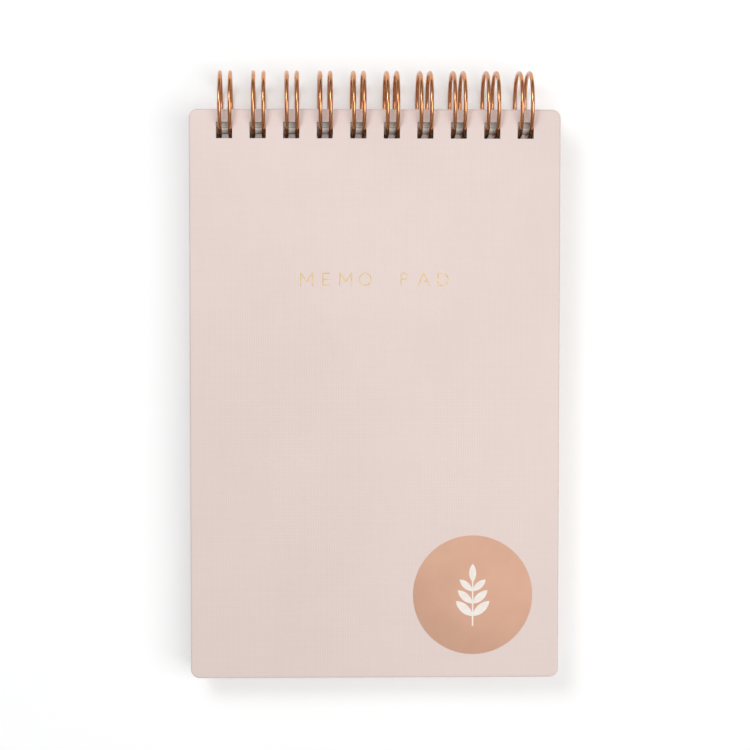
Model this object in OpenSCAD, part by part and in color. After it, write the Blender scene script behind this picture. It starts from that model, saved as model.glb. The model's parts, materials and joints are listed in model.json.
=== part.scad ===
// Pocket notebook, bound along its top edge with twin-loop wire: two wrapped
// board covers, loose leaves, one bent wire, a foil title and a round label.
// X runs across the pages, +Y points to the bound edge and +Z is up. The book
// lies as it does on a table, on its rings and on the free edge of its back
// cover, so the whole stack leans by a little over a degree.

/* [Covers] */
// Width of each cover, across the pages
cover_w = 94; // [92:0.5:110]
// Length of each cover, from the bound edge to the free edge
cover_l = 144.8; // [120:0.1:180]
// Thickness of one finished cover
cover_t = 2; // [1.6:0.1:2.2]
// Radius of the cover's corners
cover_r = 2.2; // [1:0.1:5]
// Thickness of the embossed wrap
wrap_t = 0.2; // [0.1:0.05:0.3]
// How far the wrap is turned in on the inner face
turn_in = 14; // [10:1:20]
// Thickness of the liner where it lies on the turned-in wrap
liner_t = 0.1; // [0.08:0.01:0.2]
// Distance from the cover's edge to the liner's edge
liner_inset = 2.5; // [1:0.1:5]

/* [Leaves] */
// Number of leaves
leaf_count = 50; // [30:1:50]
// Width of a leaf
leaf_w = 88.9; // [84:0.1:91]
// Length of a leaf
leaf_l = 139.7; // [116:0.1:141]
// Thickness of one leaf
leaf_t = 0.13; // [0.08:0.01:0.13]
// Air between one sheet and the next
air_gap = 0.01; // [0.005:0.005:0.01]
// Distance from a leaf's bound edge to its holes
leaf_hole_inset = 2.8; // [2.4:0.1:3]
// Play between a leaf's holes and the inside of the loops
leaf_play = 0.3; // [0.25:0.05:0.4]

/* [Binding] */
// Number of loop pairs
pair_count = 10; // [4:1:10]
// Distance between loop pairs, three to the inch
pair_pitch = 8.467; // [8.4:0.001:8.5]
// Distance between the two wires of a pair
wire_spread = 2.6; // [2.2:0.1:2.7]
// Thickness of the wire
wire_d = 1; // [0.8:0.1:1]
// Radius of a loop, to the middle of the wire
loop_r = 8.2; // [8.1:0.1:8.3]
// Side of each square hole
hole_w = 4.1; // [4:0.1:4.3]
// Distance from the cover's bound edge to the holes
hole_inset = 3.3; // [3:0.1:3.4]
// Distance from the loops' axis to the covers' bound edge
edge_gap = 1.5; // [1.4:0.1:1.6]
// Angle of the loops' roots below the stack, out of sight under the back cover
seam_angle = 50; // [48:1:56]

/* [Title and label] */
// Height of the title's capital letters
cap_h = 3.3; // [2.5:0.1:4]
// Width of the line that draws a letter
stroke_w = 0.3; // [0.2:0.02:0.4]
// Distance from one letter of the title to the next
letter_step = 4.95; // [4:0.05:5.5]
// Distance from the bound edge to the middle of the title
title_down = 42.9; // [30:0.1:60]
// Diameter of the round label
label_d = 30.5; // [20:0.5:34]
// Distance from the cover's right edge to the label's centre
label_from_side = 22; // [18:0.5:40]
// Distance from the cover's free edge to the label's centre
label_from_end = 21.3; // [18:0.1:40]
// Height of the leaf sprig printed on the label
sprig_h = 16; // [8:0.5:16]

/* [Hidden] */
$fn = 48;
foil_t = 0.03;
label_t = 0.08;
ink_t = 0.02;
board_t = cover_t - 2 * wrap_t - liner_t;
leaf_pitch = leaf_t + air_gap;
block_t = leaf_count * leaf_pitch + air_gap;
stack_t = 2 * cover_t + block_t;
loop_outer = loop_r + wire_d / 2;
// the stack leans until its free edge touches the table, as the loops do
far_edge = edge_gap + cover_l;
rest_tilt = asin(loop_outer / sqrt(far_edge * far_edge + stack_t * stack_t / 4))
    - atan(stack_t / 2 / far_edge);
far_y = far_edge * cos(rest_tilt) + stack_t / 2 * sin(rest_tilt);
axis_y = (far_y - loop_outer) / 2;
axis_z = loop_outer;
label_x = cover_w / 2 - label_from_side;
label_y = label_from_end - far_edge;
title_y = -edge_gap - title_down;
// seam of the wire: a bend takes each loop's root into the bar along the spine,
// and the hairpin tip of each pair stops just short of that bar
bend_r = 0.9;
spine_d = wire_d - 0.04;
spine_let_in = 0.05;
root_angle = 180 + seam_angle;
tip_gap = 25;
tip_angle = root_angle + tip_gap - 360;
pair_x = [for (i = [0 : pair_count - 1]) (i - (pair_count - 1) / 2) * pair_pitch];

function leaf_name(i) = str("leaf_", i < 10 ? "0" : "", i);

// ---- places ----

// on the loops' axis, with the stack running to -Y and its middle at Z = 0
module in_stack() {
    translate([0, axis_y, axis_z])
        rotate([rest_tilt, 0, 0])
            children();
}

// Z = 0 is a cover's outer face and +Z goes into the book
module in_front_cover() {
    in_stack()
        translate([0, 0, stack_t / 2])
            mirror([0, 0, 1])
                children();
}

module in_back_cover() {
    in_stack()
        translate([0, 0, -stack_t / 2])
            children();
}

// ---- sheets and boards ----

// the row of square holes, from this far beyond the loops' axis
module holes_2d(start) {
    for (x = pair_x)
        translate([x - hole_w / 2, -start - hole_w])
            square([hole_w, hole_w]);
}

// a cover's outline, drawn in by inset all round
module outline_2d(inset, r) {
    w = cover_w - 2 * inset;
    l = cover_l - 2 * inset;
    translate([-w / 2, -edge_gap - inset - l]) {
        translate([r, 0])
            square([w - 2 * r, l]);
        translate([0, r])
            square([w, l - 2 * r]);
        for (x = [r, w - r])
            for (y = [r, l - r])
                translate([x, y])
                    circle(r = r);
    }
}

module window_2d() {
    translate([-cover_w / 2 + turn_in, -edge_gap - cover_l + turn_in])
        square([cover_w - 2 * turn_in, cover_l - 2 * turn_in]);
}

module plate(z, t, holes_start = edge_gap + hole_inset) {
    translate([0, 0, z])
        linear_extrude(height = t)
            difference() {
                children();
                holes_2d(holes_start);
            }
}

module cover_board() {
    color([0.62, 0.58, 0.53])
        plate(wrap_t, board_t)
            outline_2d(wrap_t, cover_r - wrap_t);
}

// outer skin, folded edges and the turned-in border, as one sheet
module cover_wrap() {
    wrap_end = cover_t - liner_t;
    color([0.90, 0.82, 0.79])
        difference() {
            plate(0, wrap_end)
                outline_2d(0, cover_r);
            translate([0, 0, wrap_t])
                linear_extrude(height = board_t)
                    outline_2d(wrap_t, cover_r - wrap_t);
            translate([0, 0, wrap_t + board_t / 2])
                linear_extrude(height = wrap_end)
                    window_2d();
        }
}

// pasted over the turned-in border, and down onto the board inside it
module cover_liner() {
    color([0.93, 0.91, 0.88]) {
        plate(cover_t - liner_t, liner_t)
            outline_2d(liner_inset, cover_r);
        translate([0, 0, cover_t - liner_t - wrap_t])
            linear_extrude(height = wrap_t)
                window_2d();
    }
}

module front_cover_board() {
    in_front_cover()
        cover_board();
}

module front_cover_wrap() {
    in_front_cover()
        cover_wrap();
}

module front_cover_liner() {
    in_front_cover()
        cover_liner();
}

module back_cover_board() {
    in_back_cover()
        cover_board();
}

module back_cover_wrap() {
    in_back_cover()
        cover_wrap();
}

module back_cover_liner() {
    in_back_cover()
        cover_liner();
}

// leaf 1 lies next to the front cover; each leaf hangs from the loops by its
// holes, so the block's bound edge follows their curve
module leaf(i) {
    z = block_t / 2 - i * leaf_pitch;
    loop_inner = loop_r - wire_d / 2;
    middle = z + leaf_t / 2;
    holes_start = sqrt(loop_inner * loop_inner - middle * middle) - leaf_play;
    color([0.97, 0.96, 0.93])
        in_stack()
            plate(z, leaf_t, holes_start)
                translate([-leaf_w / 2, leaf_hole_inset - holes_start - leaf_l])
                    square([leaf_w, leaf_l]);
}

// ---- title and label ----

// a straight stroke between two points, each given as a share of width and height
module stroke(a, b, w) {
    p = [a[0] * w, a[1] * cap_h];
    q = [b[0] * w, b[1] * cap_h];
    side = [p[1] - q[1], q[0] - p[0]] / norm(q - p) * stroke_w / 2;
    polygon([p + side, q + side, q - side, p - side]);
}

// the part of a ring to the right of x
module bow(r, x) {
    intersection() {
        difference() {
            circle(r = r + stroke_w / 2);
            circle(r = r - stroke_w / 2);
        }
        translate([x, -2 * r])
            square([4 * r, 4 * r]);
    }
}

module letter_m() {
    w = 3;
    translate([-w / 2, 0]) {
        stroke([0, 0], [0, 1], w);
        stroke([1, 0], [1, 1], w);
        stroke([0, 1], [0.5, 0.3], w);
        stroke([1, 1], [0.5, 0.3], w);
    }
}

module letter_e() {
    w = 1.7;
    edge = stroke_w / 2 / cap_h;
    translate([-w / 2, 0]) {
        stroke([0, 0], [0, 1], w);
        for (y = [edge, 0.5, 1 - edge])
            stroke([0, y], [1, y], w);
    }
}

module letter_o() {
    translate([0, cap_h / 2])
        bow((cap_h - stroke_w) / 2, -cap_h);
}

module letter_p() {
    r = (cap_h * 0.52 - stroke_w) / 2;
    y = cap_h - stroke_w / 2 - r;
    translate([-0.8, 0]) {
        stroke([0, 0], [0, 1], 1);
        for (s = [-1, 1])
            translate([0, y + s * r - stroke_w / 2])
                square([0.8, stroke_w]);
        translate([0.8, y])
            bow(r, 0);
    }
}

module letter_a() {
    w = 2.9;
    translate([-w / 2, 0]) {
        stroke([0, 0], [0.5, 1], w);
        stroke([1, 0], [0.5, 1], w);
        stroke([0.17, 0.34], [0.83, 0.34], w);
    }
}

module letter_d() {
    r = (cap_h - stroke_w) / 2;
    translate([-1.3, 0]) {
        stroke([0, 0], [0, 1], 1);
        for (y = [0, cap_h - stroke_w])
            translate([0, y])
                square([1, stroke_w]);
        translate([1, cap_h / 2])
            bow(r, 0);
    }
}

// the generic words MEMO PAD, one piece of foil for each letter
module title_foil() {
    color([0.85, 0.70, 0.40])
        in_front_cover()
            translate([0, title_y - cap_h / 2, -foil_t])
                for (i = [0 : 7])
                    translate([(i - 3.5) * letter_step, 0])
                        linear_extrude(height = foil_t) {
                            if (i == 0 || i == 2)
                                letter_m();
                            if (i == 1)
                                letter_e();
                            if (i == 3)
                                letter_o();
                            if (i == 5)
                                letter_p();
                            if (i == 6)
                                letter_a();
                            if (i == 7)
                                letter_d();
                        }
}

module round_label() {
    color([0.87, 0.64, 0.54])
        in_front_cover()
            translate([label_x, label_y, -label_t])
                cylinder(d = label_d, h = label_t);
}

// one pointed leaf of the sprig, where two circles cross
module sprig_leaf(l) {
    r = l * 0.75;
    half = sqrt(r * r - l * l / 4);
    translate([0, l / 2])
        intersection() {
            translate([-half, 0])
                circle(r = r);
            translate([half, 0])
                circle(r = r);
        }
}

// a stem with pairs of leaves that get smaller towards the top
module label_print() {
    rows = 3;
    row_step = sprig_h / 5;
    color([0.96, 0.94, 0.91])
        in_front_cover()
            translate([label_x, label_y - sprig_h / 2, -label_t - ink_t])
                linear_extrude(height = ink_t) {
                    translate([-0.2, 0])
                        square([0.4, sprig_h * 0.75]);
                    translate([0, sprig_h * 0.7])
                        sprig_leaf(sprig_h * 0.3);
                    for (k = [0 : rows - 1])
                        for (side = [-1, 1])
                            translate([0, sprig_h * 0.16 + k * row_step])
                                rotate(side * 48)
                                    sprig_leaf(sprig_h * (0.36 - 0.04 * k));
                }
}

// ---- binding ----

module wire_section(r, d = wire_d) {
    translate([r, 0])
        circle(d = d);
}

// one loop, from its tip round through the holes to its root
module loop(x) {
    translate([x, 0, 0])
        rotate(a = 120, v = [1, 1, 1])
            rotate([0, 0, tip_angle])
                rotate_extrude(angle = root_angle - tip_angle)
                    wire_section(loop_r);
}

// X along the spine, Z along the wire at this angle round the loop
module on_loop(angle) {
    rotate([angle, 0, 0])
        translate([0, loop_r, 0])
            children();
}

// the hairpin that joins a pair's two loops
module tip(x) {
    on_loop(tip_angle)
        translate([x, 0, 0])
            rotate([90, 0, 0])
                rotate([0, 0, 180])
                    rotate_extrude(angle = 180)
                        wire_section(wire_spread / 2);
}

// the bend from a loop's root into the bar on its right
module root_bend() {
    translate([bend_r, 0, 0])
        rotate([90, 0, 0])
            rotate([0, 0, 90])
                rotate_extrude(angle = 90)
                    wire_section(bend_r, spine_d);
}

// the bar from one pair to the next, with the bend at each end, let a little
// way into the loops' roots
module spine_bar(x) {
    start = x + wire_spread / 2;
    end = x + pair_pitch - wire_spread / 2;
    on_loop(root_angle)
        translate([0, 0, -spine_let_in]) {
            translate([start, 0, 0])
                root_bend();
            translate([end, 0, 0])
                mirror([1, 0, 0])
                    root_bend();
            translate([start + bend_r, 0, bend_r])
                rotate([0, 90, 0])
                    cylinder(d = spine_d, h = end - start - 2 * bend_r);
        }
}

// one length of wire: loop, hairpin tip, loop, bar, and so on along the spine
module wire_binding() {
    color([0.78, 0.53, 0.38])
        in_stack() {
            for (x = pair_x) {
                loop(x - wire_spread / 2);
                loop(x + wire_spread / 2);
                tip(x);
            }
            for (i = [0 : pair_count - 2])
                spine_bar(pair_x[i]);
        }
}

front_cover_board();
front_cover_wrap();
front_cover_liner();
title_foil();
round_label();
label_print();
back_cover_board();
back_cover_wrap();
back_cover_liner();
wire_binding();
for (i = [1 : leaf_count])
    leaf(i);
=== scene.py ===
import json
import math

import bmesh
import bpy
import numpy as np
from mathutils import Matrix, Vector


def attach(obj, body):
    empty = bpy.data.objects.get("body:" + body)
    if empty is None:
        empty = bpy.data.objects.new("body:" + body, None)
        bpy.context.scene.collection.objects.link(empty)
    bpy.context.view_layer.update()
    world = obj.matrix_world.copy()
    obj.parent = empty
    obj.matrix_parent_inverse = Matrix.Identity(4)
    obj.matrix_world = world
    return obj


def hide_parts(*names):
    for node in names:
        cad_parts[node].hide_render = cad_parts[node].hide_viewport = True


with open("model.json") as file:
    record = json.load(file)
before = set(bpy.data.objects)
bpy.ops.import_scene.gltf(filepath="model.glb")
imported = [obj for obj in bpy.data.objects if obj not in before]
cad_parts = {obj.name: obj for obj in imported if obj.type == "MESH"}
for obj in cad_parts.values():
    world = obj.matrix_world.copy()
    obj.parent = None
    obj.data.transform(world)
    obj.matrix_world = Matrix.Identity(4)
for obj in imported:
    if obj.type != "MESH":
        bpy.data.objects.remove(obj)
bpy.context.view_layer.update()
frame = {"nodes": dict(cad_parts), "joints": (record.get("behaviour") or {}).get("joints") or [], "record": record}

# ---- the book's lie ----
# The book rests on its loops and on the free edge of its back cover, so its
# covers and leaves lean a little. Here X runs across the pages, Y points to the
# bound edge along the covers, Z is square to them, and 0 is the loops' axis.

free_end = frame["record"]["mounts"][0]
hinge = frame["joints"][0]
across = Vector((1, 0, 0))
to_bound_edge = -Vector(free_end["axis"])
square_to_cover = across.cross(to_bound_edge)
book = Matrix.Translation(Vector(hinge["pos_m"])) @ Matrix(
    (across, to_bound_edge, square_to_cover)
).transposed().to_4x4()

# ---- cover boards ----
# Grey board, pressed from waste paper and guillotined to size: the stiff core
# of each cover. Its cut fibres show on the walls of the punched holes.

MM = 0.001


def new_material(name):
    """A new material, its node tree, and the one shader in it, joined to the output."""
    material = bpy.data.materials.new(name)
    material.use_nodes = True
    tree = material.node_tree
    tree.nodes.clear()
    out = tree.nodes.new("ShaderNodeOutputMaterial")
    shader = tree.nodes.new("ShaderNodeBsdfPrincipled")
    tree.links.new(shader.outputs["BSDF"], out.inputs["Surface"])
    return material, tree, shader


def add(tree, kind, inputs=None, **settings):
    """A node with its settings, and its inputs linked or set."""
    node = tree.nodes.new(kind)
    for name, value in settings.items():
        setattr(node, name, value)
    for name, value in (inputs or {}).items():
        if isinstance(value, bpy.types.NodeSocket):
            tree.links.new(value, node.inputs[name])
        else:
            node.inputs[name].default_value = value
    return node


def mottle(tree, where, scale, dark, light, detail=3.0):
    """Two colours of one stuff, mixed in soft patches."""
    noise = add(tree, "ShaderNodeTexNoise", {"Vector": where, "Scale": scale, "Detail": detail})
    ramp = add(tree, "ShaderNodeValToRGB", {"Fac": noise.outputs["Fac"]})
    ramp.color_ramp.elements[0].position = 0.35
    ramp.color_ramp.elements[1].position = 0.65
    ramp.color_ramp.elements[0].color = (*dark, 1)
    ramp.color_ramp.elements[1].color = (*light, 1)
    return ramp.outputs["Color"], noise.outputs["Fac"]


def relief(tree, height, strength, depth):
    """The normals of a fine relief of this height, laid over the surface."""
    bump = add(tree, "ShaderNodeBump", {"Height": height, "Strength": strength, "Distance": depth})
    return bump.outputs["Normal"]


def grey_board():
    """Brown-grey board of pressed fibres, rough to the touch."""
    material, tree, shader = new_material("grey_board")
    where = add(tree, "ShaderNodeTexCoord").outputs["Object"]
    colour, fibres = mottle(tree, where, 1800, (0.26, 0.20, 0.16), (0.44, 0.37, 0.31), 5)
    tree.links.new(colour, shader.inputs["Base Color"])
    tree.links.new(relief(tree, fibres, 0.6, 0.1 * MM), shader.inputs["Normal"])
    shader.inputs["Roughness"].default_value = 0.95
    return material


def dress(node, material):
    """Gives a CAD node its material."""
    slots = frame["nodes"][node].data.materials
    slots.clear()
    slots.append(material)


board = grey_board()
for node in ("front_cover_board", "back_cover_board"):
    dress(node, board)

# ---- cover wraps ----
# Blush paper embossed as fine linen, glued round each board and turned in on
# the inside. The fold rounds the board's edges, and the holes are punched last.

FOLD_R = 0.5 * MM
INNER_FOLD_R = 0.3 * MM
CORNER_R = 2.2 * MM
WRAP_T = 0.2 * MM
TURN_IN = 14 * MM
PAIRS = 10
PITCH = 8.467 * MM
HOLE = 4.1 * MM
HOLE_INSET = 3.3 * MM
HOLE_CORNER_R = 0.12 * MM
pair_x = [(i - (PAIRS - 1) / 2) * PITCH for i in range(PAIRS)]


def in_book(node):
    """A CAD node's lowest and highest corners in the book's own axes."""
    to_book = book.inverted()
    co = np.array([to_book @ v.co for v in frame["nodes"][node].data.vertices])
    return Vector(co.min(0)), Vector(co.max(0))


def rounded_outline(low, high, r, steps=10):
    """The corners of a rounded rectangle, going round once."""
    points = []
    for sx, sy, turn in ((1, 1, 0), (-1, 1, 90), (-1, -1, 180), (1, -1, 270)):
        cx = high.x - r if sx > 0 else low.x + r
        cy = high.y - r if sy > 0 else low.y + r
        for k in range(steps + 1):
            a = math.radians(turn + 90 * k / steps)
            points.append((cx + r * math.cos(a), cy + r * math.sin(a)))
    return points


def loft(name, rings):
    """A closed solid through rings of points, each ring a list of (x, y, z)."""
    bm = bmesh.new()
    made = [[bm.verts.new(p) for p in ring] for ring in rings]
    count = len(rings[0])
    for a, b in zip(made, made[1:]):
        for i in range(count):
            j = (i + 1) % count
            bm.faces.new((a[i], a[j], b[j], b[i]))
    bm.faces.new(list(reversed(made[0])))
    bm.faces.new(made[-1])
    bmesh.ops.recalc_face_normals(bm, faces=bm.faces)
    mesh = bpy.data.meshes.new(name)
    bm.to_mesh(mesh)
    bm.free()
    made_object = bpy.data.objects.new(name, mesh)
    bpy.context.scene.collection.objects.link(made_object)
    return made_object


def slab(name, low, high, corner_r, fold_r, fold_bottom=0.0, fold_steps=5):
    """A flat plate with round corners. fold_r rounds its top edge and fold_bottom its bottom edge."""
    rings = []
    smallest_corner = 0.05 * MM

    def ring(inset, z):
        lo = Vector((low.x + inset, low.y + inset))
        hi = Vector((high.x - inset, high.y - inset))
        r = max(corner_r - inset, smallest_corner)
        rings.append([(x, y, z) for x, y in rounded_outline(lo, hi, r)])

    steps = range(fold_steps + 1)
    for k in steps if fold_bottom else (fold_steps,):
        a = math.radians(90 * k / fold_steps)
        ring(fold_bottom * (1 - math.sin(a)), low.z + fold_bottom * (1 - math.cos(a)))
    for k in steps if fold_r else (0,):
        a = math.radians(90 * k / fold_steps)
        ring(fold_r * (1 - math.cos(a)), high.z - fold_r * (1 - math.sin(a)))
    return loft(name, rings)


def carve(piece, cutters):
    """Cuts the cutters out of the piece, and clears them away."""
    for cutter in cutters:
        cut = piece.modifiers.new("cut", "BOOLEAN")
        cut.operation = "DIFFERENCE"
        cut.solver = "EXACT"
        cut.object = cutter
    bpy.context.view_layer.update()
    shown = piece.evaluated_get(bpy.context.evaluated_depsgraph_get())
    shaped = bpy.data.meshes.new_from_object(shown)
    piece.modifiers.clear()
    piece.data = shaped
    for cutter in cutters:
        bpy.data.objects.remove(cutter)


def smooth(piece, angle=35):
    """Smooth shading, but for edges sharper than the angle."""
    same_point = 1e-7
    bm = bmesh.new()
    bm.from_mesh(piece.data)
    bmesh.ops.remove_doubles(bm, verts=bm.verts, dist=same_point)
    for face in bm.faces:
        face.smooth = True
    for edge in bm.edges:
        sharp = len(edge.link_faces) != 2 or edge.calc_face_angle(0) > math.radians(angle)
        edge.smooth = not sharp
    bm.to_mesh(piece.data)
    bm.free()


def hole_punches(y_near, z_low, z_high):
    """The square punches, one for each loop pair."""
    punches = []
    for x in pair_x:
        lo = Vector((x - HOLE / 2, y_near - HOLE, z_low))
        hi = Vector((x + HOLE / 2, y_near, z_high))
        punches.append(slab("punch", lo, hi, HOLE_CORNER_R, 0))
    return punches


def cover_wrap(name, node, outer):
    """One wrap. outer is +1 if the cover's outer face looks up, and -1 if it looks down.

    It is shaped with the outer face on top, and turned over where that face looks down.
    """
    low, high = in_book(node)
    thickness = high.z - low.z
    flip = Matrix.Diagonal((1, 1, outer, 1))
    lo = Vector((low.x, low.y, 0))
    hi = Vector((high.x, high.y, thickness))
    skin = slab(name, lo, hi, CORNER_R, FOLD_R, INNER_FOLD_R)
    inset = Vector((WRAP_T, WRAP_T, WRAP_T))
    pocket = slab("pocket", lo + inset, hi - inset, CORNER_R - WRAP_T, FOLD_R - WRAP_T)
    window = slab(
        "window",
        lo + Vector((TURN_IN, TURN_IN, -MM)),
        Vector((hi.x - TURN_IN, hi.y - TURN_IN, WRAP_T * 2)),
        MM, 0,
    )
    punches = hole_punches(hi.y - HOLE_INSET, -MM, thickness + MM)
    carve(skin, [pocket])
    carve(skin, [window])
    carve(skin, punches)
    place = low.z if outer > 0 else high.z
    skin.data.transform(book @ Matrix.Translation((0, 0, place)) @ flip)
    if outer < 0:
        skin.data.flip_normals()
    smooth(skin)
    return skin


def linen_wrap():
    """Pale blush paper with a fine crossed emboss, painted shade in its hollows, and a thread here and there a
    little thicker.
    """
    material, tree, shader = new_material("linen_wrap")
    where = add(tree, "ShaderNodeTexCoord").outputs["Object"]
    thread = 0.45 * MM
    bands_scale = math.tau / thread / 20
    heights = []
    for direction, stretch in (("X", (1, 0.12, 1)), ("Y", (0.12, 1, 1))):
        slubs = add(tree, "ShaderNodeMapping", {"Vector": where, "Scale": stretch})
        along = {"Vector": slubs.outputs["Vector"], "Scale": 700, "Detail": 2}
        wander = add(tree, "ShaderNodeTexNoise", along)
        bands = {"Vector": where, "Scale": bands_scale, "Distortion": 1.2, "Detail": 2, "Detail Scale": 3}
        wave = add(tree, "ShaderNodeTexWave", bands, bands_direction=direction)
        both = {0: wave.outputs["Fac"], 1: wander.outputs["Fac"]}
        heights.append(add(tree, "ShaderNodeMath", both, operation="MULTIPLY").outputs[0])
    weave = add(tree, "ShaderNodeMath", {0: heights[0], 1: heights[1]}, operation="ADD")
    tint, _ = mottle(tree, where, 35, (0.735, 0.597, 0.562), (0.755, 0.617, 0.582))
    # Painted shade and highlight: the colour is darkened where the emboss is low and lightened a touch where it is
    # high.
    painted_shade_between_threads = {"From Min": 0.1, "From Max": 1.1, "To Min": 0.955, "To Max": 1.02}
    painted_shade_of_weave = add(tree, "ShaderNodeMapRange", {"Value": weave.outputs[0], **painted_shade_between_threads})
    colour = add(tree, "ShaderNodeMix", {"Factor": 1.0, 6: tint}, data_type="RGBA", blend_type="MULTIPLY")
    tree.links.new(painted_shade_of_weave.outputs["Result"], colour.inputs[7])
    emboss = relief(tree, weave.outputs[0], 0.35, 0.06 * MM)
    tree.links.new(colour.outputs[2], shader.inputs["Base Color"])
    tree.links.new(emboss, shader.inputs["Normal"])
    shader.inputs["Roughness"].default_value = 0.48
    shader.inputs["Specular IOR Level"].default_value = 0.6
    shader.inputs["Sheen Weight"].default_value = 0.08
    return material


linen = linen_wrap()
for side, outer in (("front", 1), ("back", -1)):
    wrap = cover_wrap(f"{side}_wrap", f"{side}_cover_wrap", outer)
    wrap.data.materials.clear()
    wrap.data.materials.append(linen)
    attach(wrap, f"{side}_cover")
    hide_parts(f"{side}_cover_wrap")

# ---- cover liners ----
# A sheet of smooth white paper pasted inside each cover, over the turned-in
# wrap and a little short of the edges.


def smooth_paper(name, dark, light):
    """Calendered paper, which has hardly any fibre left to feel."""
    material, tree, shader = new_material(name)
    where = add(tree, "ShaderNodeTexCoord").outputs["Object"]
    colour, _ = mottle(tree, where, 60, dark, light)
    fibres = add(tree, "ShaderNodeTexNoise", {"Vector": where, "Scale": 2500, "Detail": 4})
    normals = relief(tree, fibres.outputs["Fac"], 0.12, 0.05 * MM)
    tree.links.new(colour, shader.inputs["Base Color"])
    tree.links.new(normals, shader.inputs["Normal"])
    shader.inputs["Roughness"].default_value = 0.85
    shader.inputs["Specular IOR Level"].default_value = 0.3
    return material


liner_paper = smooth_paper("liner_paper", (0.70, 0.67, 0.63), (0.73, 0.70, 0.66))
for node in ("front_cover_liner", "back_cover_liner"):
    dress(node, liner_paper)

# ---- leaves ----
# Fifty loose sheets of writing paper, ruled in pale grey. They hang from the
# loops by their holes, so the block's bound edge is a shallow curve.

LINE_STEP = 7 * MM
LINE_W = 0.18 * MM


def writing_paper():
    """White paper with lines ruled across both sides, but not on the cut edges."""
    material, tree, shader = new_material("writing_paper")
    coord = add(tree, "ShaderNodeTexCoord").outputs["Object"]
    tilt = math.atan2(to_bound_edge.z, to_bound_edge.y)
    where = add(tree, "ShaderNodeMapping", {"Vector": coord, "Rotation": (-tilt, 0, 0)})
    split = add(tree, "ShaderNodeSeparateXYZ", {"Vector": where.outputs["Vector"]})
    off_line = add(tree, "ShaderNodeMath", {0: split.outputs["Y"], 1: LINE_STEP / 2}, operation="PINGPONG")
    line = add(tree, "ShaderNodeMath", {0: off_line.outputs[0], 1: LINE_W / 2}, operation="LESS_THAN")
    normal = add(tree, "ShaderNodeTexCoord").outputs["Normal"]
    facing = add(tree, "ShaderNodeSeparateXYZ", {"Vector": normal})
    flatness = add(tree, "ShaderNodeMath", {0: facing.outputs["Z"]}, operation="ABSOLUTE")
    on_side = add(tree, "ShaderNodeMath", {0: flatness.outputs[0], 1: 0.7}, operation="GREATER_THAN")
    line = add(tree, "ShaderNodeMath", {0: line.outputs[0], 1: on_side.outputs[0]}, operation="MULTIPLY")
    colour, _ = mottle(tree, coord, 90, (0.775, 0.76, 0.72), (0.805, 0.79, 0.75))
    rule = {"Factor": line.outputs[0], 6: colour, 7: (0.42, 0.42, 0.43, 1)}
    ruled = add(tree, "ShaderNodeMix", rule, data_type="RGBA")
    fibres = add(tree, "ShaderNodeTexNoise", {"Vector": coord, "Scale": 2200, "Detail": 4})
    normals = relief(tree, fibres.outputs["Fac"], 0.15, 0.05 * MM)
    tree.links.new(ruled.outputs[2], shader.inputs["Base Color"])
    tree.links.new(normals, shader.inputs["Normal"])
    shader.inputs["Roughness"].default_value = 0.9
    shader.inputs["Specular IOR Level"].default_value = 0.25
    return material


leaf_paper = writing_paper()
for node in frame["nodes"]:
    if node.startswith("leaf_"):
        dress(node, leaf_paper)

# ---- title ----
# Pale gold foil, stamped hot onto the wrap with a brass die, in thin capitals.
# It is only a few hundredths of a millimetre thick, and a little uneven.


def gold_foil():
    """Pale satin gold with a fine grain."""
    material, tree, shader = new_material("gold_foil")
    where = add(tree, "ShaderNodeTexCoord").outputs["Object"]
    colour, grain = mottle(tree, where, 900, (0.58, 0.41, 0.20), (0.72, 0.54, 0.30))
    tree.links.new(colour, shader.inputs["Base Color"])
    tree.links.new(relief(tree, grain, 0.35, 0.04 * MM), shader.inputs["Normal"])
    shader.inputs["Metallic"].default_value = 0.4
    shader.inputs["Roughness"].default_value = 0.45
    return material


dress("title_foil", gold_foil())

# ---- round label ----
# A disc of copper foil paper, die cut and stuck on the front cover, with a
# leaf sprig printed on it in off-white ink.


def copper_foil():
    """Satin copper paper, its tone drifting a little across the disc."""
    material, tree, shader = new_material("copper_foil")
    where = add(tree, "ShaderNodeTexCoord").outputs["Object"]
    colour, _ = mottle(tree, where, 120, (0.625, 0.36, 0.25), (0.66, 0.385, 0.27))
    grain = add(tree, "ShaderNodeTexNoise", {"Vector": where, "Scale": 1500, "Detail": 3})
    normals = relief(tree, grain.outputs["Fac"], 0.12, 0.04 * MM)
    tree.links.new(colour, shader.inputs["Base Color"])
    tree.links.new(normals, shader.inputs["Normal"])
    shader.inputs["Metallic"].default_value = 0.25
    shader.inputs["Roughness"].default_value = 0.6
    return material


LABEL_EDGE_R = 0.03 * MM
LABEL_SIDES = 160


def circle_at(centre, r, z):
    """A ring of points round the centre, at one height."""
    turns = [math.tau * k / LABEL_SIDES for k in range(LABEL_SIDES)]
    return [(centre.x + r * math.cos(a), centre.y + r * math.sin(a), z) for a in turns]


low, high = in_book("round_label")
label_r = (high.x - low.x) / 2
centre = (low + high) / 2
softened = LABEL_EDGE_R * 0.3
label = loft("label_disc", [
    circle_at(centre, label_r, low.z),
    circle_at(centre, label_r, high.z - LABEL_EDGE_R),
    circle_at(centre, label_r - softened, high.z - softened),
    circle_at(centre, label_r - LABEL_EDGE_R, high.z),
])
label.data.transform(book)
smooth(label)
label.data.materials.append(copper_foil())
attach(label, "front_cover")
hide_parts("round_label")


def label_ink():
    """Off-white ink, a little thin in places."""
    material, tree, shader = new_material("label_ink")
    where = add(tree, "ShaderNodeTexCoord").outputs["Object"]
    colour, _ = mottle(tree, where, 700, (0.82, 0.74, 0.68), (0.88, 0.82, 0.77))
    tree.links.new(colour, shader.inputs["Base Color"])
    shader.inputs["Roughness"].default_value = 0.6
    return material


dress("label_print", label_ink())

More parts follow.
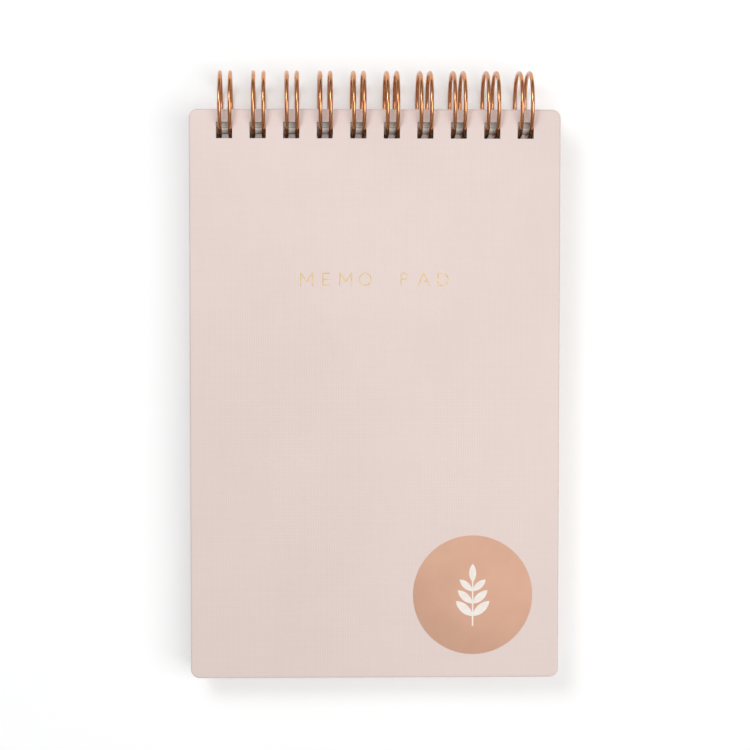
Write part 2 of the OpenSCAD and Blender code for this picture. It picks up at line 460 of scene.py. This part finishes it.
# ---- wire binding ----
# One length of steel wire with a copper coating, bent into pairs of loops with
# a hairpin tip, threaded through the holes and squeezed shut. The seam, where
# the tips meet the bars along the spine, lies under the back cover.

WIRE_R = 0.5 * MM
LOOP_R = 8.2 * MM
SPREAD = 2.6 * MM
BEND_R = 0.9 * MM
ROOT_ANGLE = math.radians(230)
TIP_ANGLE = math.radians(-105)
HOLE_PLAY = 0.235 * MM
BAR_THINNER = 0.025 * MM


def on_loop(x, angle, along=0.0):
    """A point at this angle round the loop, and then straight on along the wire by some way.

    The loop's upper side leans to the right and its lower side to the left, within the holes' play.
    """
    height = LOOP_R * math.sin(angle) + along * math.cos(angle)
    lean = HOLE_PLAY * math.tanh(2 * height / LOOP_R)
    return Vector((x + lean, LOOP_R * math.cos(angle) - along * math.sin(angle), height))


def wire_route():
    """Points along the whole wire: loop, hairpin tip, loop, bar, and on to the next pair."""
    route = []
    turns = 72
    half = SPREAD / 2
    angles = [ROOT_ANGLE + (TIP_ANGLE - ROOT_ANGLE) * k / turns for k in range(turns + 1)]
    hairpin = [math.pi * k / 10 for k in range(1, 10)]
    bend = [math.radians(90 * k / 6) for k in range(1, 6)]
    for i, x in enumerate(pair_x):
        route += [on_loop(x - half, a) for a in angles]
        route += [on_loop(x - half * math.cos(a), TIP_ANGLE, -half * math.sin(a)) for a in hairpin]
        route += [on_loop(x + half, a) for a in reversed(angles)]
        if i + 1 < len(pair_x):
            leaving, arriving = x + half, pair_x[i + 1] - half
            for a in bend:
                sideways = BEND_R * (1 - math.cos(a))
                route.append(on_loop(leaving + sideways, ROOT_ANGLE, BEND_R * math.sin(a)))
            route.append(on_loop(leaving + BEND_R, ROOT_ANGLE, BEND_R))
            route.append(on_loop(arriving - BEND_R, ROOT_ANGLE, BEND_R))
            for a in reversed(bend):
                sideways = BEND_R * (1 - math.cos(a))
                route.append(on_loop(arriving - sideways, ROOT_ANGLE, BEND_R * math.sin(a)))
    return route


def draw_wire(name, route, r, sides=14):
    """A round bar along the route, a little thinner where it runs across the book."""
    ahead = route[1:] + route[-1:]
    behind = route[:1] + route[:-1]
    heading = [(a - b).normalized() for a, b in zip(ahead, behind)]
    up = heading[0].orthogonal().normalized()
    rings = []
    turns = [math.tau * k / sides for k in range(sides)]
    for i, p in enumerate(route):
        if i:
            up = (heading[i - 1].rotation_difference(heading[i]) @ up).normalized()
            up = (up - heading[i] * up.dot(heading[i])).normalized()
        side = heading[i].cross(up)
        here = r - BAR_THINNER * abs(heading[i].x)
        rings.append([p + here * (math.cos(a) * up + math.sin(a) * side) for a in turns])
    return loft(name, rings)


def copper_wire():
    """Bright copper coating, rubbed duller in places."""
    material, tree, shader = new_material("copper_wire")
    where = add(tree, "ShaderNodeTexCoord").outputs["Object"]
    colour, _ = mottle(tree, where, 500, (0.60, 0.26, 0.115), (0.72, 0.34, 0.16))
    rub = add(tree, "ShaderNodeTexNoise", {"Vector": where, "Scale": 1800, "Detail": 3})
    rough = add(tree, "ShaderNodeMapRange", {"Value": rub.outputs["Fac"], "To Min": 0.14, "To Max": 0.26})
    normals = relief(tree, rub.outputs["Fac"], 0.05, 0.03 * MM)
    tree.links.new(colour, shader.inputs["Base Color"])
    tree.links.new(rough.outputs["Result"], shader.inputs["Roughness"])
    tree.links.new(normals, shader.inputs["Normal"])
    shader.inputs["Metallic"].default_value = 1.0
    return material


wire = draw_wire("copper_loops", wire_route(), WIRE_R)
wire.data.transform(book)
smooth(wire, 60)
wire.data.materials.append(copper_wire())
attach(wire, "binding")
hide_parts("wire_binding")

# ---- table, light and camera ----
# A matt white table top that glows faintly, a broad soft light from the right,
# a smaller one from the upper left, and a camera above that looks down on the
# front cover.


def white_table():
    """Matt white acrylic with a faint painted glow of its own, which lightens the shadows cast on it."""
    material, tree, shader = new_material("white_table")
    where = add(tree, "ShaderNodeTexCoord").outputs["Object"]
    colour, _ = mottle(tree, where, 12, (0.81, 0.81, 0.81), (0.82, 0.82, 0.82))
    tree.links.new(colour, shader.inputs["Base Color"])
    tree.links.new(colour, shader.inputs["Emission Color"])
    # Painted light: the table glows in its own colour, though no lamp lights it from below.
    shader.inputs["Emission Strength"].default_value = 0.22
    shader.inputs["Roughness"].default_value = 0.9
    shader.inputs["Specular IOR Level"].default_value = 0.1
    return material


TABLE_HALF = 1.6
bm = bmesh.new()
bmesh.ops.create_grid(bm, x_segments=24, y_segments=24, size=TABLE_HALF)
table_mesh = bpy.data.meshes.new("table_top")
bm.to_mesh(table_mesh)
bm.free()
table = bpy.data.objects.new("table_top", table_mesh)
bpy.context.scene.collection.objects.link(table)
table.data.materials.append(white_table())


def soft_light(name, place, aim, size, watts, colour):
    """A rectangular lamp that faces its aim."""
    lamp = bpy.data.lights.new(name, "AREA")
    lamp.shape = "RECTANGLE"
    lamp.size, lamp.size_y = size
    lamp.energy = watts
    lamp.color = colour
    stand = bpy.data.objects.new(name, lamp)
    bpy.context.scene.collection.objects.link(stand)
    stand.location = place
    stand.rotation_euler = (Vector(aim) - Vector(place)).to_track_quat("-Z", "Y").to_euler()


soft_light(
    "overhead_softbox", place=(0.45, -0.12, 0.95), aim=(0, 0, 0),
    size=(0.6, 1.1), watts=6.2, colour=(1.0, 0.98, 0.96),
)
soft_light(
    "upper_left_light", place=(-0.28, 0.32, 0.62), aim=(0, 0, 0),
    size=(0.3, 0.3), watts=1.9, colour=(0.95, 1.0, 1.03),
)

# The room's brightness, from the horizon (0) to straight overhead (1).
SKY_STRENGTH = 1.32
SKY = ((0.0, 0.12), (0.35, 0.45), (0.70, 0.85), (0.92, 0.45), (1.0, 0.3))
world = bpy.data.worlds.new("studio")
bpy.context.scene.world = world
world.use_nodes = True
tree = world.node_tree
look = add(tree, "ShaderNodeTexCoord").outputs["Generated"]
split = add(tree, "ShaderNodeSeparateXYZ", {"Vector": look})
ramp = add(tree, "ShaderNodeValToRGB", {"Fac": split.outputs["Z"]})
stops = ramp.color_ramp.elements
while len(stops) < len(SKY):
    stops.new(0.5)
for stop, (height, strength) in zip(stops, SKY):
    stop.position = height
    grey = strength / 2
    stop.color = (grey, grey, grey, 1)
tree.links.new(ramp.outputs["Color"], tree.nodes["Background"].inputs["Color"])
tree.nodes["Background"].inputs["Strength"].default_value = SKY_STRENGTH
bpy.context.scene.view_settings.view_transform = "Standard"

CAMERA_HEIGHT = 480 * MM
VIEW_WIDTH = 190.5 * MM
SENSOR_W = 36
AIM_PAST_MIDDLE = 5.2 * MM
CAMERA_LEAN = math.radians(1.5)
CAMERA_TO_LEFT = 0.022
camera_data = bpy.data.cameras.new("camera")
camera_data.sensor_width = SENSOR_W
camera_data.lens = SENSOR_W * CAMERA_HEIGHT / VIEW_WIDTH
camera = bpy.data.objects.new("camera", camera_data)
bpy.context.scene.collection.objects.link(camera)
front_low, front_high = in_book("front_cover_wrap")
aim = book @ Vector((0, (front_low.y + front_high.y) / 2 + AIM_PAST_MIDDLE, front_high.z))
to_camera = Vector((-CAMERA_TO_LEFT, math.sin(CAMERA_LEAN), math.cos(CAMERA_LEAN)))
camera.location = aim + CAMERA_HEIGHT * to_camera
back = (camera.location - aim).normalized()
right = Vector((0, 1, 0)).cross(back).normalized()
camera.rotation_euler = Matrix((right, back.cross(right), back)).transposed().to_euler()
bpy.context.scene.camera = camera
